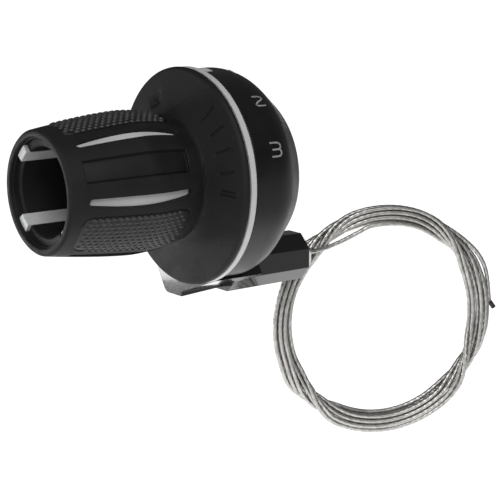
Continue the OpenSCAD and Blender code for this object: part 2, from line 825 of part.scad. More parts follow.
module cable_coil() color("#cfd1d2") {
    round_corner = 1.2;
    half_w = coil_band / 2 - round_corner;
    half_t = coil_t / 2 - round_corner;
    translate(coil_centre)
        rotate([90, 0, coil_turn])
            rotate_extrude($fn = 96)
                translate([coil_r, 0])
                    polygon([for (q = [[1, 1, 0], [-1, 1, 90], [-1, -1, 180], [1, -1, 270]])
                        each arc(q[0] * half_w, q[1] * half_t, round_corner, q[2], q[2] + 90, 3)]);
}

module cable_tail() color("#c4c6c8") {
    tube(spline(tail_route, 1), cable_d / 2, 8);
}

module cable_tip() color("#8a8c8e") {
    last = len(tail_route) - 1;
    end = tail_route[last];
    along = unit(end - tail_route[last - 1]);
    tube([end, end + tip_len * along], cable_d / 2 + 0.1, 8);
}

rubber_cover();
grip_barrel();
cable_spool();
cable_head();
cable_wrap();
retaining_ring();
drum_housing();
thrust_washer();
detent_spring();
clamp_screw();
clamp_nut();
guide_cover();
cover_screws();
guide_liner();
inner_cable();
nose_seal();
cable_lead();
cable_coil();
cable_tail();
cable_tip();
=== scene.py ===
import math
import random

import bpy
from mathutils import Matrix, Vector


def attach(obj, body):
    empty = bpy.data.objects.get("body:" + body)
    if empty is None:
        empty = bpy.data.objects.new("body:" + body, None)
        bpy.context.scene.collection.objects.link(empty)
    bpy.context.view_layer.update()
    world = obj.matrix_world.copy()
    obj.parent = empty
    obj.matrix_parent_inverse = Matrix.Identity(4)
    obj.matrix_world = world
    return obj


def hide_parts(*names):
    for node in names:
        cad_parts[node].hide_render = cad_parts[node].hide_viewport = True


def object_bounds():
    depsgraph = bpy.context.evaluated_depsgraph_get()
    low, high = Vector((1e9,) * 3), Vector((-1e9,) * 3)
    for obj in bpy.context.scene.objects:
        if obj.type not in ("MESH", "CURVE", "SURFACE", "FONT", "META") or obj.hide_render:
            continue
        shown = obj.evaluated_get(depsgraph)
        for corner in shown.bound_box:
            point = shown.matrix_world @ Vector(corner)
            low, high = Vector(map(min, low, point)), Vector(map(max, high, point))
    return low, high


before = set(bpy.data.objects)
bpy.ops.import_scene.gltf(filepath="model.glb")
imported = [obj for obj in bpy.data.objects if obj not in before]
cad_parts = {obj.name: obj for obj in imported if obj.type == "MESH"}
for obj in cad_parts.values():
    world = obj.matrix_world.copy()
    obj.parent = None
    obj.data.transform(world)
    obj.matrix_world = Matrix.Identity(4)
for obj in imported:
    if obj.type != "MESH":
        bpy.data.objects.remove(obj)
cad_low, cad_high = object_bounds()


# Camera. The shifter is looked at from the rider's side and a little above the bar,
# through a long lens that keeps its rings nearly parallel.
camera_lens = bpy.data.cameras.new("camera")
camera_lens.lens = 137.2
camera_lens.sensor_width = 36.0
camera_lens.clip_end = 60.0
camera = bpy.data.objects.new("camera", camera_lens)
bpy.context.scene.collection.objects.link(camera)
camera.location = (-0.2942, -0.3973, 0.0789)
look_at = Vector((-0.00278, -0.00344, -0.02098))
camera.rotation_euler = (look_at - camera.location).to_track_quat("-Z", "Y").to_euler()
bpy.context.scene.camera = camera


# Studio. A white sweep lies under the coil and glows with a painted pool of light behind and below the
# part, so its light comes up from below.
# Overhead it is darker, so that black plastic shades off towards the top, and the
# tones stay as they are lit, from the white of the paper to the black of the rubber.
bpy.context.scene.view_settings.view_transform = "Standard"


def shader_of(material):
    return material.node_tree.nodes["Principled BSDF"]


def new_material(name, colour, roughness, metallic=0.0):
    material = bpy.data.materials.new(name)
    material.use_nodes = True
    shader = shader_of(material)
    shader.inputs["Base Color"].default_value = (*colour, 1.0)
    shader.inputs["Roughness"].default_value = roughness
    shader.inputs["Metallic"].default_value = metallic
    return material


def add_node(tree, kind, **values):
    node = tree.nodes.new(kind)
    for key, value in values.items():
        setattr(node, key, value)
    return node


def make_piece(name, points, faces, material, crease=40.0):
    """Solid mesh from points in millimetres, smooth up to the crease angle."""
    mesh = bpy.data.meshes.new(name)
    mesh.from_pydata([[value * 0.001 for value in point] for point in points], [], faces)
    mesh.validate()
    mesh.shade_smooth()
    mesh.set_sharp_from_angle(angle=math.radians(crease))
    mesh.materials.append(material)
    piece = bpy.data.objects.new(name, mesh)
    bpy.context.scene.collection.objects.link(piece)
    return piece


floor_half = 9000.0
floor_level = cad_low[2] * 1000.0 - 0.6
paper = new_material("white_paper", (0.3, 0.3, 0.3), 0.9)
paper_tree = paper.node_tree
# The paper's emission paints a pool of light: a glowing fan that opens behind the part and fades off
# softly. It is set by the way into the paper and across it, and by how far in front of the origin the fan
# starts.
paper_inward = (0.5948, 0.8039, 0.0)
paper_across = (0.8039, -0.5948, 0.0)
fan_start = 0.4944
fan_front_dark = -0.14
fan_front_lit = -0.04
fan_side_dark = 0.26
fan_side_lit = 0.145
glow_outside = 0.3
glow_inside = 1.05


def paper_fade(source, dark_at, lit_at):
    """One where the source passes the lit value, zero where it passes the dark one."""
    fade = add_node(paper_tree, "ShaderNodeMapRange", interpolation_type="SMOOTHSTEP")
    fade.inputs["From Min"].default_value = dark_at
    fade.inputs["From Max"].default_value = lit_at
    paper_tree.links.new(source, fade.inputs["Value"])
    return fade.outputs["Result"]


paper_place = add_node(paper_tree, "ShaderNodeTexCoord")
paper_away = add_node(paper_tree, "ShaderNodeVectorMath", operation="DOT_PRODUCT")
paper_away.inputs[1].default_value = paper_inward
paper_aside = add_node(paper_tree, "ShaderNodeVectorMath", operation="DOT_PRODUCT")
paper_aside.inputs[1].default_value = paper_across
paper_far = add_node(paper_tree, "ShaderNodeMath", operation="ADD")
paper_far.inputs[1].default_value = fan_start
paper_ratio = add_node(paper_tree, "ShaderNodeMath", operation="DIVIDE")
paper_width = add_node(paper_tree, "ShaderNodeMath", operation="ABSOLUTE")
painted_light_pool = add_node(paper_tree, "ShaderNodeMath", operation="MULTIPLY")
paper_glow = add_node(paper_tree, "ShaderNodeMapRange")
paper_glow.inputs["To Min"].default_value = glow_outside
paper_glow.inputs["To Max"].default_value = glow_inside
paper_tree.links.new(paper_place.outputs["Object"], paper_away.inputs[0])
paper_tree.links.new(paper_place.outputs["Object"], paper_aside.inputs[0])
paper_tree.links.new(paper_away.outputs["Value"], paper_far.inputs[0])
paper_tree.links.new(paper_aside.outputs["Value"], paper_ratio.inputs[0])
paper_tree.links.new(paper_far.outputs["Value"], paper_ratio.inputs[1])
paper_tree.links.new(paper_ratio.outputs["Value"], paper_width.inputs[0])
front_fade = paper_fade(paper_away.outputs["Value"], fan_front_dark, fan_front_lit)
side_fade = paper_fade(paper_width.outputs["Value"], fan_side_dark, fan_side_lit)
paper_tree.links.new(front_fade, painted_light_pool.inputs[0])
paper_tree.links.new(side_fade, painted_light_pool.inputs[1])
# The painted glow runs from dim outside the fan to full inside it.
paper_tree.links.new(painted_light_pool.outputs["Value"], paper_glow.inputs["Value"])
paper_tree.links.new(paper_glow.outputs["Result"], shader_of(paper).inputs["Emission Strength"])
shader_of(paper).inputs["Emission Color"].default_value = (1.0, 1.0, 1.0, 1.0)
floor_corners = [
    (-floor_half, -floor_half, floor_level),
    (floor_half, -floor_half, floor_level),
    (floor_half, floor_half, floor_level),
    (-floor_half, floor_half, floor_level),
]
floor = make_piece("floor", floor_corners, [(0, 1, 2, 3)], paper)

studio = bpy.data.worlds.new("studio")
studio.use_nodes = True
studio.node_tree.nodes["Background"].inputs["Color"].default_value = (1.0, 1.0, 1.0, 1.0)
studio.node_tree.nodes["Background"].inputs["Strength"].default_value = 0.10
bpy.context.scene.world = studio


def softbox(name, place, aim, width, height, power):
    lamp_data = bpy.data.lights.new(name, "AREA")
    lamp_data.shape = "RECTANGLE"
    lamp_data.size = width
    lamp_data.size_y = height
    lamp_data.energy = power
    lamp = bpy.data.objects.new(name, lamp_data)
    bpy.context.scene.collection.objects.link(lamp)
    lamp.location = place
    lamp.rotation_euler = (Vector(aim) - Vector(place)).to_track_quat("-Z", "Y").to_euler()
    return lamp


middle = (0.0, 0.0, -0.02)
softbox("key_softbox", (-0.5, -1.1, 1.0), middle, 0.9, 0.9, 12.0)
softbox("open_end_softbox", (-1.3, 0.1, 0.35), middle, 0.7, 0.7, 3.2)
softbox("low_card", (-0.165, 0.19, -0.055), (-0.018, 0.0, -0.03), 0.12, 0.05, 0.12)


# Inner cable. Stranded stainless wire, 1.2 mm thick and close to two metres long, leaves the
# nose bare and is wound by hand into ten turns that wander over and under each other.
cable_exit = (0.0221, 0.006, -0.0264)
lead_route = [
    (0.0226, 0.006, -0.0264),
    (0.026, 0.006, -0.0264),
    (0.0297, 0.0059, -0.026),
    (0.0334, 0.0055, -0.0251),
    (0.0371, 0.0048, -0.0238),
    (0.0407, 0.004, -0.0223),
    (0.0437, 0.0031, -0.021),
]
tail_end = (0.0803, -0.0073, -0.0454)
coil_centre = Vector((0.0485, 0.003, -0.048))
coil_heading = math.radians(18.0)
coil_across = Vector((math.cos(coil_heading), -math.sin(coil_heading), 0.0))
coil_away = Vector((math.sin(coil_heading), math.cos(coil_heading), 0.0))
coil_radius = 0.0301
# The turns lie four across and three deep, filled to and fro, and step outwards to the next layer
turn_pitch = 0.0014
turn_climb = 0.35
turn_order = [(3, 2), (2, 2), (1, 2), (0, 2), (0, 1), (1, 1)]
turn_order += [(2, 1), (3, 1), (3, 0), (2, 0), (1, 0), (0, 0)]
# Angle at which the lead joins the coil, and the degrees from there to where the tail leaves
coil_first = 99.6
coil_turned = 3685.0
# The lead comes in at the bundle's inner corner and is drawn into place over some degrees
lead_corner = Vector((-0.0027, -0.00148))
lead_drawn_in = 50.0
# The last of the wire leaves the bundle early and runs along its outside to the tip
tail_lane = Vector((0.00365, -0.0009))
tail_drawn_out = 27.0
tail_alone = 3672.0
# Where the bundle rolls over in the hand: first and last angle, and how far it rolls
coil_rolls = [
    (12.0, 72.0, 172.0),
    (104.0, 160.0, -172.0),
    (198.0, 248.0, 172.0),
    (303.0, 356.0, -172.0),
]


def smooth_step(value):
    value = min(max(value, 0.0), 1.0)
    return value * value * (3.0 - 2.0 * value)


def turn_slot(turns):
    """Place in the bundle's section after that many turns, moving evenly to the next one."""
    here = turn_order[int(turns)]
    after = turn_order[int(turns) + 1]
    part = turns - int(turns)
    climb = turn_climb * math.sin(math.pi * part) if here[1] != after[1] else 0.0
    outward = 1.0 if here[0] == 3 else -1.0
    across = here[0] + (after[0] - here[0]) * part + outward * climb - 1.5
    deep = here[1] + (after[1] - here[1]) * part - 1.0
    return Vector((across * turn_pitch, deep * turn_pitch))


def coil_point(turned):
    """Point of the coil after turning that many degrees from where the lead joins it."""
    angle = math.radians(coil_first - turned)
    here = (coil_first - turned) % 360.0
    roll = 0.0
    for start, stop, full in coil_rolls:
        roll += full * smooth_step((here - start) / (stop - start))
    place = Matrix.Rotation(math.radians(roll), 2) @ turn_slot(turned / 360.0)
    place = place.lerp(lead_corner, 1.0 - smooth_step(turned / lead_drawn_in))
    place = place.lerp(tail_lane, smooth_step(1.0 - (tail_alone - turned) / tail_drawn_out))
    radius = coil_radius + place.x
    ring = coil_across * math.cos(angle) + Vector((0.0, 0.0, math.sin(angle)))
    return coil_centre + ring * radius + coil_away * place.y


def curve_through(points, steps):
    """Smooth curve through points, with the same number of steps between two of them."""
    curve = []
    for i in range(len(points) - 1):
        b, c = points[i], points[i + 1]
        a = points[i - 1] if i else b * 2.0 - c
        d = points[i + 2] if i + 2 < len(points) else c * 2.0 - b
        for k in range(steps):
            t = k / steps
            bend = (a * 2.0 - b * 5.0 + c * 4.0 - d) * t * t + (b * 3.0 - a - c * 3.0 + d) * t * t * t
            curve.append((b * 2.0 + (c - a) * t + bend) * 0.5)
    return curve + [points[-1]]


coil_step = 10.0
line_steps = 5
coil_joints = int(coil_turned / coil_step)
coil_route = [coil_point(coil_step * (i + 1)) for i in range(coil_joints)]
lead_stations = [Vector(place) for place in [cable_exit] + lead_route]
cable_line = curve_through(lead_stations + coil_route + [Vector(tail_end)], line_steps)
strand_core = 0.00055
strand_lobe = 0.00006
strand_count = 6
strand_lay = 0.012
tube_sides = 24


def strand_tube(name, line, material):
    """Tube along a line whose section is a ring of strands that turn once every lay."""
    sides = tube_sides
    points = []
    normal = (line[1] - line[0]).orthogonal().normalized()
    travelled = 0.0
    for i, centre in enumerate(line):
        ahead = (line[min(i + 1, len(line) - 1)] - line[max(i - 1, 0)]).normalized()
        normal = (normal - ahead * normal.dot(ahead)).normalized()
        side = ahead.cross(normal)
        if i:
            travelled += (centre - line[i - 1]).length
        for k in range(sides):
            around = 2.0 * math.pi * k / sides
            radius = strand_core + strand_lobe * abs(math.sin(around * strand_count / 2.0))
            spun = around + 2.0 * math.pi * travelled / strand_lay
            point = centre + (normal * math.cos(spun) + side * math.sin(spun)) * radius
            points.append(point * 1000.0)
    faces = []
    for i in range(len(line) - 1):
        for k in range(sides):
            a = i * sides + k
            b = i * sides + (k + 1) % sides
            faces.append((a, b, b + sides, a + sides))
    last = (len(line) - 1) * sides
    faces.append(tuple(range(sides - 1, -1, -1)))
    faces.append(tuple(range(last, last + sides)))
    return make_piece(name, points, faces, material, crease=75.0)


def new_group(name, inputs, outputs):
    """Shader group with named number inputs and outputs, returned with its two end nodes."""
    group = bpy.data.node_groups.new(name, "ShaderNodeTree")
    for label, value in inputs.items():
        socket = group.interface.new_socket(label, in_out="INPUT", socket_type="NodeSocketFloat")
        socket.default_value = value
    for label, kind in outputs.items():
        group.interface.new_socket(label, in_out="OUTPUT", socket_type=kind)
    return group, group.nodes.new("NodeGroupInput"), group.nodes.new("NodeGroupOutput")


# The moulding grain that every plastic and rubber piece shows: fine pits on top of slow waves.
grain, grain_in, grain_out = new_group(
    "moulding_grain",
    {"Pits per metre": 6000.0, "Waves per metre": 300.0},
    {"Height": "NodeSocketFloat", "Mottle": "NodeSocketFloat"},
)
grain_place = add_node(grain, "ShaderNodeTexCoord")
grain_pits = add_node(grain, "ShaderNodeTexNoise")
grain_pits.inputs["Detail"].default_value = 3.0
grain_waves = add_node(grain, "ShaderNodeTexNoise")
grain_waves.inputs["Detail"].default_value = 4.0
grain.links.new(grain_place.outputs["Object"], grain_pits.inputs["Vector"])
grain.links.new(grain_in.outputs["Pits per metre"], grain_pits.inputs["Scale"])
grain.links.new(grain_place.outputs["Object"], grain_waves.inputs["Vector"])
grain.links.new(grain_in.outputs["Waves per metre"], grain_waves.inputs["Scale"])
grain.links.new(grain_pits.outputs["Fac"], grain_out.inputs["Height"])
grain.links.new(grain_waves.outputs["Fac"], grain_out.inputs["Mottle"])

# Soft corners: no moulded edge is knife-sharp, so light rolls round it over a narrow band.
corners, corners_in, corners_out = new_group(
    "soft_corners",
    {"Reach": 0.00025},
    {"Normal": "NodeSocketVector"},
)
corner_round = add_node(corners, "ShaderNodeBevel", samples=6)
corners.links.new(corners_in.outputs["Reach"], corner_round.inputs["Radius"])
corners.links.new(corner_round.outputs["Normal"], corners_out.inputs["Normal"])


def range_of(tree, source, low, high):
    """Stretches a mask from 0 to 1 onto a range of values."""
    node = add_node(tree, "ShaderNodeMapRange")
    node.inputs["From Min"].default_value = 0.3
    node.inputs["From Max"].default_value = 0.7
    node.inputs["To Min"].default_value = low
    node.inputs["To Max"].default_value = high
    tree.links.new(source, node.inputs["Value"])
    return node.outputs["Result"]


def grained(material, dark, bright, rough, pits, waves, depth, gloss_from):
    """Lays the grain over a material: mottled tone, uneven gloss and fine relief."""
    tree = material.node_tree
    shader = shader_of(material)
    skin = add_node(tree, "ShaderNodeGroup", node_tree=grain)
    skin.inputs["Pits per metre"].default_value = pits
    skin.inputs["Waves per metre"].default_value = waves
    tone = add_node(tree, "ShaderNodeMix", data_type="RGBA")
    tone.inputs["A"].default_value = (*dark, 1.0)
    tone.inputs["B"].default_value = (*bright, 1.0)
    tree.links.new(range_of(tree, skin.outputs["Mottle"], 0.0, 1.0), tone.inputs["Factor"])
    tree.links.new(tone.outputs["Result"], shader.inputs["Base Color"])
    gloss = range_of(tree, skin.outputs[gloss_from], rough[0], rough[1])
    tree.links.new(gloss, shader.inputs["Roughness"])
    relief = add_node(tree, "ShaderNodeBump")
    relief.inputs["Strength"].default_value = 1.0
    relief.inputs["Distance"].default_value = depth
    tree.links.new(skin.outputs["Height"], relief.inputs["Height"])
    tree.links.new(relief.outputs["Normal"], shader.inputs["Normal"])
    return relief


def moulded(name, dark, bright, rough, pits, waves, depth):
    """Moulded plastic or rubber: the mottle of its gloss, fine grain and soft corners."""
    material = new_material(name, dark, rough[0])
    tree = material.node_tree
    relief = grained(material, dark, bright, rough, pits, waves, depth, "Mottle")
    edge = add_node(tree, "ShaderNodeGroup", node_tree=corners)
    tree.links.new(edge.outputs["Normal"], relief.inputs["Normal"])
    return material


def drawn_metal(name, dark, bright, rough, pits, depth):
    """Metal with fine flow lines: its tone and gloss change a little over the surface."""
    material = new_material(name, bright, rough[0], 1.0)
    grained(material, dark, bright, rough, pits, pits * 0.12, depth, "Height")
    return material


def dress(node, material):
    """Puts a material on a CAD node as it is."""
    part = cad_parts[node]
    for place in part.material_slots:
        place.material = material


wire_steel = drawn_metal(
    "stranded_steel", (0.44, 0.435, 0.415), (0.7, 0.69, 0.67), (0.36, 0.5), 5200.0, 0.00002)
gear_cable = strand_tube("gear_cable", cable_line, wire_steel)
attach(gear_cable, "housing")
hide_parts("cable_lead", "cable_coil", "cable_tail")

# The end of the cable is fused by the cutter into a short bead, scorched dark, so no wire frays.
fused_end = drawn_metal(
    "fused_end", (0.03, 0.03, 0.03), (0.09, 0.085, 0.08), (0.4, 0.6), 4000.0, 0.00003)
dress("cable_tip", fused_end)
for inside in ("cable_wrap", "inner_cable"):
    dress(inside, wire_steel)


# Barrel. One moulding of pale grey filled nylon: the tube that turns on the bar, its split end,
# the leaves that show through the rubber, the ring behind the flare and the gear pointer. Its
# leaves lie a little below the rubber's skin, and the two fingers on the rider's side end sooner.
pale_nylon = moulded(
    "pale_grey_nylon", (0.66, 0.67, 0.665), (0.73, 0.735, 0.73), (0.38, 0.5), 7000.0, 260.0, 0.000012)
dress("grip_barrel", pale_nylon)
leaf_sink = 0.0008
leaf_foot = 0.0142
leaf_stations = (-0.0597, -0.0303)
finger_ends_from = -0.0634
rider_finger_step = 0.0016
barrel_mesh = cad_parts["grip_barrel"].data.copy()
for corner_point in barrel_mesh.vertices:
    place = corner_point.co
    reach = math.hypot(place.y, place.z)
    if leaf_stations[0] < place.x < leaf_stations[1] and reach > leaf_foot:
        sunk = 1.0 - leaf_sink / reach
        corner_point.co = Vector((place.x, place.y * sunk, place.z * sunk))
    elif place.x < finger_ends_from and place.y < 0.0:
        place.x += rider_finger_step
barrel_body = bpy.data.objects.new("barrel_body", barrel_mesh)
bpy.context.scene.collection.objects.link(barrel_body)
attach(barrel_body, "grip")
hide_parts("grip_barrel")


# Spool. Moulded in natural nylon and turned by the barrel's two keys. It winds the cable in its
# groove, holds the cable's cast head in a pocket and carries the notches for the three gears.
natural_nylon = moulded(
    "natural_nylon", (0.74, 0.71, 0.62), (0.80, 0.78, 0.70), (0.34, 0.46), 6000.0, 220.0, 0.00001)
shader_of(natural_nylon).inputs["Subsurface Weight"].default_value = 0.15
shader_of(natural_nylon).inputs["Subsurface Scale"].default_value = 0.002
dress("cable_spool", natural_nylon)
head_alloy = drawn_metal(
    "cast_head_alloy", (0.42, 0.38, 0.30), (0.60, 0.55, 0.44), (0.35, 0.55), 3000.0, 0.00003)
dress("cable_head", head_alloy)


# Rubber sleeve. Moulded over the barrel: three bare plates, six bowed slots, three pads of raised
# scales, a waist, and a dished flare with short ribs of shadow where the thumb rests.
sleeve_length = 44.2
open_end_x = -64.5
mouth_radius = 15.5
crown_radius = 18.05
crown_at = 24.0
waist_radius = 16.0
waist_at = 38.5
flare_radius = 28.0
flare_rim = 2.0
bore_radius = 13.35
hub_radius = 14.45
hub_at = 38.45
plate_clock = 66.0
plate_half = 10.0
plate_depth = 0.6
plate_from = 4.6
plate_to = 34.0
plate_groove = 0.2
plate_rim = 0.34
groove_inner = 0.42
groove_outer = 0.32
slot_clock = 29.0
slot_width = 2.9
slot_end_width = 0.58
slot_from = 5.0
slot_to = 34.0
slot_depth = 2.3
slot_round = 0.9
pad_half = 19.4
pad_from = 3.6
pad_to = 34.6
pad_corner = 3.2
pad_taper = 8.0
pad_border = 0.25
border_half = 0.28
wall_half = 0.09


def sleeve_radius(station):
    if station < crown_at:
        return crown_radius - (crown_radius - mouth_radius) * ((crown_at - station) / crown_at) ** 1.4
    spread = (station - crown_at) / (waist_at - crown_at)
    return crown_radius - (crown_radius - waist_radius) * min(spread, 1.0) ** 1.8


def slot_sides(station):
    """Sides of a slot from its centre line: straight beside the plate, bowed beside the pad."""
    from_end = max(min(station - slot_from, slot_to - station), 0.0)
    run = min(max((station - slot_from) / (slot_to - slot_from), 0.0), 1.0)
    full = slot_width * (slot_end_width + (1.0 - slot_end_width) * math.sin(math.pi * run))
    tip = math.sqrt(1.0 - (1.0 - min(from_end / slot_round, 1.0)) ** 2)
    middle = (slot_width - full) / 2.0
    half = max(full / 2.0 * tip, 0.12)
    return middle + half, middle - half, slot_depth if tip > 0.15 else 0.0


def plate_at(station):
    """Depth of a plate and of the narrow groove along its edges."""
    from_end = min(station - plate_from, plate_to - station)
    if from_end <= 0.0:
        return 0.0, 0.0
    groove = plate_depth + plate_groove
    return (groove if from_end < plate_rim else plate_depth), groove


def pad_half_at(station):
    """Half the angle of a pad at a station: full along its length, with rounded corners."""
    from_end = min(station - pad_from, pad_to - station)
    if from_end <= 0.0:
        return 0.0
    ends = math.sqrt(1.0 - (1.0 - min(from_end / pad_corner, 1.0)) ** 2)
    return pad_half - pad_taper * (1.0 - ends)


def half_group_knots(station):
    """Angles from a plate's middle, with the depth there and the columns up to the next knot."""
    degree = math.degrees(1.0 / sleeve_radius(station))
    wall = wall_half * degree
    plate, groove = plate_at(station)
    near, far, slot = slot_sides(station)
    near = slot_clock - near * degree
    far = slot_clock - far * degree
    border = pad_half_at(station)
    line = pad_border if border > 0.0 else 0.0
    edge = 60.0 - max(border, pad_half - pad_taper)
    return [
        (0.0, plate, 7),
        (plate_half - groove_inner * degree, plate, 1),
        (plate_half - groove_outer * degree, groove, 1),
        (plate_half - wall, groove, 1),
        (plate_half + wall, 0.0, 9),
        (near - wall, 0.0, 1),
        (near + wall, slot, 3),
        (far - wall, slot, 1),
        (far + wall, 0.0, 6),
        (edge - border_half * degree - wall, 0.0, 1),
        (edge - border_half * degree + wall, line, 1),
        (edge + border_half * degree - wall, line, 1),
        (edge + border_half * degree + wall, 0.0, 14),
        (60.0, 0.0, 0),
    ]


def spread_knots(knots):
    """Columns of angle and depth between knots."""
    columns = []
    for here, after in zip(knots, knots[1:]):
        for k in range(here[2]):
            part = k / here[2]
            angle = here[0] + (after[0] - here[0]) * part
            columns.append((angle, here[1] + (after[1] - here[1]) * part))
    return columns


def sleeve_columns(station):
    half = spread_knots(half_group_knots(station))
    columns = []
    for group in range(3):
        middle_clock = plate_clock + 120.0 * group
        columns += [(middle_clock - angle, depth) for angle, depth in reversed(half)]
        columns += [(middle_clock + angle, depth) for angle, depth in half[1:]]
        columns.append((middle_clock + 60.0, 0.0))
    return columns


# Shadow lines on the flare's face, the last two a close pair, and the dip for the thumb
mark_clocks = [38.0, 52.0, 66.0, 80.0, 92.0, 94.6]
mark_half = 0.25
mark_wall = 0.08
mark_depth = 0.32
mark_inner = 19.5
mark_outer = 24.6
dip_from = 326.0
dip_to = 343.0
dip_middle = 20.9
dip_reach = 1.9
dip_depth = 1.5


def flare_columns(radius, total):
    """Columns of the flare: shadow lines with sharp walls, and the dip behind the top."""
    degree = math.degrees(1.0 / radius)
    inside = 1.0 if mark_inner < radius < mark_outer else 0.0
    start = plate_clock - 60.0
    knots = [(start, 0.0, 26)]
    for clock, following in zip(mark_clocks, mark_clocks[1:] + [dip_from]):
        knots += [
            (clock - (mark_half + mark_wall) * degree, 0.0, 1),
            (clock - mark_half * degree, mark_depth * inside, 2),
            (clock + mark_half * degree, mark_depth * inside, 1),
            (clock + (mark_half + mark_wall) * degree, 0.0, 2 if following - clock < 3.0 else 11),
        ]
    used = sum(knot[2] for knot in knots)
    dip_columns = 24
    after_dip = 16
    knots[-1] = (knots[-1][0], 0.0, 11 + total - used - dip_columns - after_dip)
    knots.append((dip_from, 0.0, dip_columns))
    knots.append((dip_to, 0.0, after_dip))
    knots.append((start + 360.0, 0.0, 0))
    columns = []
    for angle, depth in spread_knots(knots):
        if dip_from < angle < dip_to:
            across = math.sin(math.pi * (angle - dip_from) / (dip_to - dip_from))
            along = max(0.0, 1.0 - abs(radius - dip_middle) / dip_reach)
            depth = dip_depth * smooth_step(1.6 * across * along)
        columns.append((angle, depth))
    return columns


def sleeve_stations():
    """Distances from the open end, closer together at every edge of the pattern."""
    stations = [0.6 + 0.36 * i for i in range(105)]
    for edge in (plate_from, plate_to, slot_from, slot_to, pad_from, pad_to):
        stations += [edge - 0.08, edge + 0.02, edge + 0.12]
    stations += [slot_from + 0.25, slot_from + 0.55, slot_to - 0.55, slot_to - 0.25]
    stations += [plate_from + 0.3, plate_from + 0.38, plate_to - 0.38, plate_to - 0.3]
    return sorted(s for s in set(stations) if s < waist_at)


column_total = len(sleeve_columns(20.0))
profile = []
for station in sleeve_stations():
    profile.append((station, sleeve_radius(station), sleeve_columns(station)))
flare_radii = [16.3, 16.8, 17.4, 18.1, 18.8, 19.4, 19.6, 20.2]
flare_radii += [20.8, 21.4, 22.0, 23.0, 24.5, 24.7, 25.4, 26.2]
flare_width = sleeve_length - waist_at - flare_rim
rim_round = flare_rim / 2.0
for radius in flare_radii:
    rise = (radius - waist_radius) / (flare_radius - rim_round - waist_radius)
    profile.append((waist_at + flare_width * rise ** 0.6, radius, flare_columns(radius, column_total)))
for i in range(9):
    round_angle = math.radians(180.0 * i / 8.0 - 90.0)
    profile.append((
        sleeve_length - rim_round + rim_round * math.sin(round_angle),
        flare_radius - rim_round + rim_round * math.cos(round_angle),
        flare_columns(flare_radius - rim_round, column_total),
    ))
even_columns = [(6.0 + 360.0 * i / column_total, 0.0) for i in range(column_total)]
profile.append((sleeve_length, hub_radius + 3.0, even_columns))
profile.append((sleeve_length, hub_radius, even_columns))
profile.append((hub_at, hub_radius, even_columns))
profile.append((hub_at, bore_radius, even_columns))
mouth_section = [(1.0, 0.0), (1.0, 0.35), (0.3, 0.35), (0.08, 0.5), (0.0, 0.75)]
mouth_section += [(0.0, 1.5), (0.08, 1.75), (0.3, 2.0)]
for station, rise in mouth_section:
    profile.append((station, bore_radius + rise, sleeve_columns(0.3)))


def ring_point(station, radius, clock):
    """Point of the sleeve in millimetres, from its distance, radius and clock angle."""
    angle = math.radians(clock)
    return (open_end_x + station, -radius * math.sin(angle), radius * math.cos(angle))


sleeve_points = []
for i, (station, radius, columns) in enumerate(profile):
    before = profile[i - 1]
    after = profile[(i + 1) % len(profile)]
    run = Vector((after[0] - before[0], after[1] - before[1])).normalized()
    for clock, depth in columns:
        sleeve_points.append(ring_point(station + depth * run.y, radius - depth * run.x, clock))
sleeve_faces = []
for i in range(len(profile)):
    for k in range(column_total):
        a = i * column_total + k
        b = i * column_total + (k + 1) % column_total
        up = ((i + 1) % len(profile)) * column_total - i * column_total
        sleeve_faces.append((a, b, b + up, a + up))

black_rubber = moulded(
    "black_rubber", (0.009, 0.009, 0.0095), (0.014, 0.014, 0.0145), (0.5, 0.68), 3400.0, 180.0, 0.00007)
shader_of(black_rubber).inputs["Specular IOR Level"].default_value = 0.3
rubber_sleeve = make_piece("rubber_sleeve", sleeve_points, sleeve_faces, black_rubber, crease=28.0)
# The plates get a darker, glossier rubber, and the ground between the scales gets it too as painted shade
# between the pips
dark_plate_and_shade_rubber = moulded(
    "dark_plate_and_shade_rubber", (0.004, 0.004, 0.0042), (0.006, 0.006, 0.0062), (0.42, 0.5), 5200.0, 180.0, 0.00001)
rubber_sleeve.data.materials.append(dark_plate_and_shade_rubber)
# Plate faces and pad ground take the darker rubber; on the pads it is painted shade between the scales.
for i, face in enumerate(rubber_sleeve.data.polygons):
    station, radius, columns = profile[i // column_total]
    from_plate = abs((columns[i % column_total][0] - plate_clock + 60.0) % 120.0 - 60.0)
    on_plate = plate_from < station < plate_to and from_plate < plate_half
    on_pad = 60.0 - from_plate < pad_half_at(station) - 0.6
    if radius > bore_radius + 2.0 and station < pad_to and (on_plate or on_pad):
        face.material_index = 1
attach(rubber_sleeve, "grip")
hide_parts("rubber_cover")


# Pad scales. Raised pips moulded with the sleeve, in staggered rows that lean towards the rider,
# so that the palm holds them in both directions.
scale_pitch = 1.72
scale_row = 1.18
scale_length = 1.46
scale_width = 0.9
scale_height = 0.46
scale_sunk = 0.12
scale_lean = 0.45
scale_rows = 10
scale_columns = 19
scale_core = 17.4
first_scale = 1.4
last_scale = 1.3
border_room = 1.6


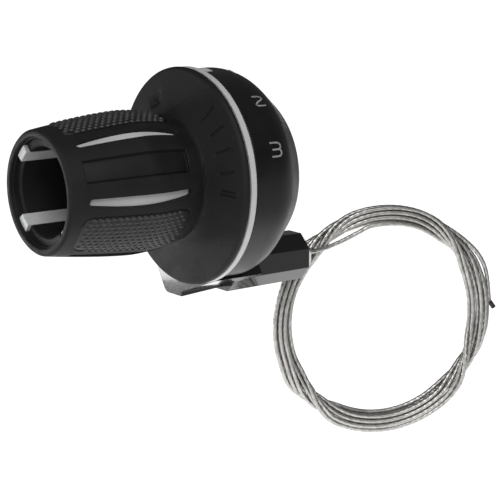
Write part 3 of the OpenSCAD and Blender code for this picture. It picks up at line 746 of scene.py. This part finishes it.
def add_scale(points, faces, station, clock, size):
    """One rounded pip on the sleeve's skin, sunk a little into it and closed below."""
    start = len(points)
    across_steps = 5
    along_steps = 7
    for i in range(along_steps):
        u = 2.0 * i / (along_steps - 1) - 1.0
        for k in range(across_steps):
            v = 2.0 * k / (across_steps - 1) - 1.0
            height = scale_height * size * (1.0 - u ** 4) * (1.0 - v ** 4) - scale_sunk
            along = station + scale_length / 2.0 * (u - 0.12 * u ** 3)
            along += scale_lean * v * scale_width / 2.0
            radius = sleeve_radius(along)
            across = math.degrees(scale_width / 2.0 * v / radius)
            points.append(ring_point(along, radius + height, clock + across))
    for i in range(along_steps - 1):
        for k in range(across_steps - 1):
            a = start + i * across_steps + k
            faces.append((a, a + 1, a + across_steps + 1, a + across_steps))
    rim = [start + k for k in range(across_steps)]
    rim += [start + i * across_steps + across_steps - 1 for i in range(1, along_steps)]
    rim += [start + (along_steps - 1) * across_steps + k for k in range(across_steps - 2, -1, -1)]
    rim += [start + i * across_steps for i in range(along_steps - 2, 0, -1)]
    faces.append(tuple(reversed(rim)))


random.seed(11)
scale_points = []
scale_faces = []
for group in range(3):
    pad_clock = plate_clock + 60.0 + 120.0 * group
    for row in range(scale_rows):
        row_clock = (row - (scale_rows - 1) / 2.0) * math.degrees(scale_row / scale_core)
        for column in range(scale_columns):
            station = pad_from + first_scale + scale_pitch * (column + 0.5 * (row % 2))
            room = pad_half_at(station) - border_room
            if abs(row_clock) > room or station > pad_to - last_scale:
                continue
            size = 0.92 + 0.16 * random.random()
            add_scale(scale_points, scale_faces, station, pad_clock + row_clock, size)
# The pips take a lighter copy of the rubber: a painted highlight on the raised scales.
scale_highlight_rubber = moulded(
    "scale_highlight_rubber", (0.035, 0.035, 0.036), (0.06, 0.06, 0.062), (0.38, 0.5), 5200.0, 400.0, 0.00002)
pad_scales = make_piece("pad_scales", scale_points, scale_faces, scale_highlight_rubber, crease=60.0)
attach(pad_scales, "grip")


# Mouth keys. Between the barrel's four fingers the rubber runs in to the bar as four keys,
# moulded with the sleeve, so that the fingers can't spread and the open end looks closed.
finger_reach = 22.8
finger_span = 18.0
key_play = 0.6
key_front = 2.0
key_inner = 11.25
key_outer = 13.5
key_steps = 20
key_section = [
    (key_front + 0.3, key_inner),
    (key_front, key_inner + 0.3),
    (key_front, key_outer),
    (finger_reach, key_outer),
    (finger_reach, key_inner),
]
key_points = []
key_faces = []
for quarter in range(4):
    first = 45.0 + 90.0 * quarter + finger_span / 2.0 + key_play
    last = first + 90.0 - finger_span - 2.0 * key_play
    start = len(key_points)
    for i in range(key_steps + 1):
        clock = first + (last - first) * i / key_steps
        for station, radius in key_section:
            key_points.append(ring_point(station, radius, clock))
    count = len(key_section)
    for i in range(key_steps):
        for k in range(count):
            a = start + i * count + k
            b = start + i * count + (k + 1) % count
            key_faces.append((a, a + count, b + count, b))
    key_faces.append(tuple(start + k for k in range(count)))
    key_faces.append(tuple(start + key_steps * count + k for k in range(count - 1, -1, -1)))
mouth_keys = make_piece("mouth_keys", key_points, key_faces, black_rubber)
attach(mouth_keys, "grip")


# Retaining ring, washer and detent spring, hidden inside the drum. The ring is stamped steel and
# snaps in behind the drum's mouth, the washer is cut from nylon sheet and lies loose on the clamp's
# web, and the spring is a bent steel leaf whose nose drops into the spool's notches.
plated_steel = drawn_metal(
    "zinc_plated_steel", (0.46, 0.47, 0.48), (0.66, 0.67, 0.68), (0.28, 0.45), 2600.0, 0.00002)
spring_steel = drawn_metal(
    "spring_steel", (0.34, 0.35, 0.37), (0.55, 0.56, 0.58), (0.2, 0.36), 3000.0, 0.00001)
dress("retaining_ring", plated_steel)
dress("thrust_washer", natural_nylon)
dress("detent_spring", spring_steel)


# Drum housing. Moulded in black nylon with a satin skin and a domed shoulder. The collar that
# clamps it to the bar is one piece with it, and it covers spool, spring and ring.
drum_black = moulded(
    "satin_black_nylon", (0.004, 0.004, 0.0045), (0.007, 0.007, 0.0075), (0.3, 0.4), 3400.0, 160.0, 0.00003)
dress("drum_housing", drum_black)


# Gear numbers. Pad-printed in pale grey paint on the drum, with rounded corners, one for each
# gear, where the barrel's pointer stops beside it.
drum_radius = 27.2
stroke = 0.52
paint_height = 0.03
digit_corner = 0.8
corner_steps = 4
digit_paths = {
    "1": [(-0.8, 1.0), (0.1, 1.75), (0.1, -1.75)],
    "2": [(-1.35, 1.55), (0.7, 1.55), (1.35, 0.9), (0.95, 0.3),
          (-0.95, -0.55), (-1.3, -1.55), (1.45, -1.55)],
    "3": [(-1.55, 1.75), (1.0, 1.75), (1.55, 1.2), (1.55, 0.45), (1.1, 0.0), (-1.1, 0.0),
          (1.1, 0.0), (1.55, -0.45), (1.55, -1.2), (1.0, -1.75), (-1.55, -1.75)],
}
digit_places = {"1": (54.4, 12.0), "2": (53.6, 41.5), "3": (53.3, 70.5)}


def rounded_path(points, radius, steps):
    """Path with each corner cut by a short curve."""
    path = [Vector(points[0])]
    for a, b, c in zip(points, points[1:], points[2:]):
        a, b, c = Vector(a), Vector(b), Vector(c)
        if (c - a).length < 0.01:
            path.append(b)
            continue
        first = b + (a - b).normalized() * min(radius, (a - b).length / 2.0)
        last = b + (c - b).normalized() * min(radius, (c - b).length / 2.0)
        for i in range(steps + 1):
            t = i / steps
            path.append(first * (1.0 - t) ** 2 + b * 2.0 * t * (1.0 - t) + last * t * t)
    path.append(Vector(points[-1]))
    return path


def add_stroke(points, faces, path, station, clock):
    """Thin strip of paint along a path, wrapped on the drum."""
    start = len(points)
    for i, centre in enumerate(path):
        ahead = (path[min(i + 1, len(path) - 1)] - path[max(i - 1, 0)]).normalized()
        across = Vector((-ahead.y, ahead.x)) * stroke / 2.0
        for side, lift in ((1.0, -1.0), (0.82, 1.0), (-0.82, 1.0), (-1.0, -1.0)):
            spot = centre + across * side
            around = clock - math.degrees(spot.y / drum_radius)
            points.append(ring_point(station + spot.x, drum_radius + lift * paint_height, around))
    for i in range(len(path) - 1):
        for k in range(4):
            a = start + i * 4 + k
            b = start + i * 4 + (k + 1) % 4
            faces.append((a, b, b + 4, a + 4))
    faces.append((start + 3, start + 2, start + 1, start))
    end = start + (len(path) - 1) * 4
    faces.append((end, end + 1, end + 2, end + 3))


pale_paint = moulded(
    "pale_paint", (0.3, 0.305, 0.31), (0.4, 0.405, 0.41), (0.45, 0.6), 6000.0, 300.0, 0.000008)
for digit, (station, clock) in digit_places.items():
    paint_points = []
    paint_faces = []
    pieces_of_digit = [digit_paths[digit]]
    if digit == "3":
        pieces_of_digit = [digit_paths[digit][:6], digit_paths[digit][6:]]
    for strokes in pieces_of_digit:
        outline = rounded_path(strokes, digit_corner, corner_steps)
        add_stroke(paint_points, paint_faces, outline, station, clock)
    numeral = make_piece("gear_number_" + digit, paint_points, paint_faces, pale_paint)
    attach(numeral, "housing")


# Guide cover. Chin and eight-sided nose in one glossy black moulding, screwed on from below over
# the curved liner. The end of the nose is the seat for the cable's casing, with a soft seal in it.
gloss_black = moulded(
    "gloss_black", (0.006, 0.006, 0.007), (0.010, 0.010, 0.011), (0.07, 0.13), 900.0, 60.0, 0.000006)
shader_of(gloss_black).inputs["Coat Weight"].default_value = 0.6
shader_of(gloss_black).inputs["Coat Roughness"].default_value = 0.05
dress("guide_cover", gloss_black)
dress("guide_liner", natural_nylon)
black_zinc = drawn_metal(
    "black_zinc", (0.03, 0.03, 0.032), (0.07, 0.07, 0.075), (0.25, 0.4), 2600.0, 0.00002)
dress("cover_screws", black_zinc)
seal_rubber = moulded(
    "seal_rubber", (0.03, 0.03, 0.031), (0.045, 0.045, 0.046), (0.55, 0.7), 5000.0, 200.0, 0.00002)
dress("nose_seal", seal_rubber)


# Clamp screw and nut. A socket screw, cold-headed and zinc plated, runs through both ears of the
# slit collar into a square nut that its pocket keeps from turning, and closes it on the bar.
dress("clamp_screw", plated_steel)
dress("clamp_nut", plated_steel)
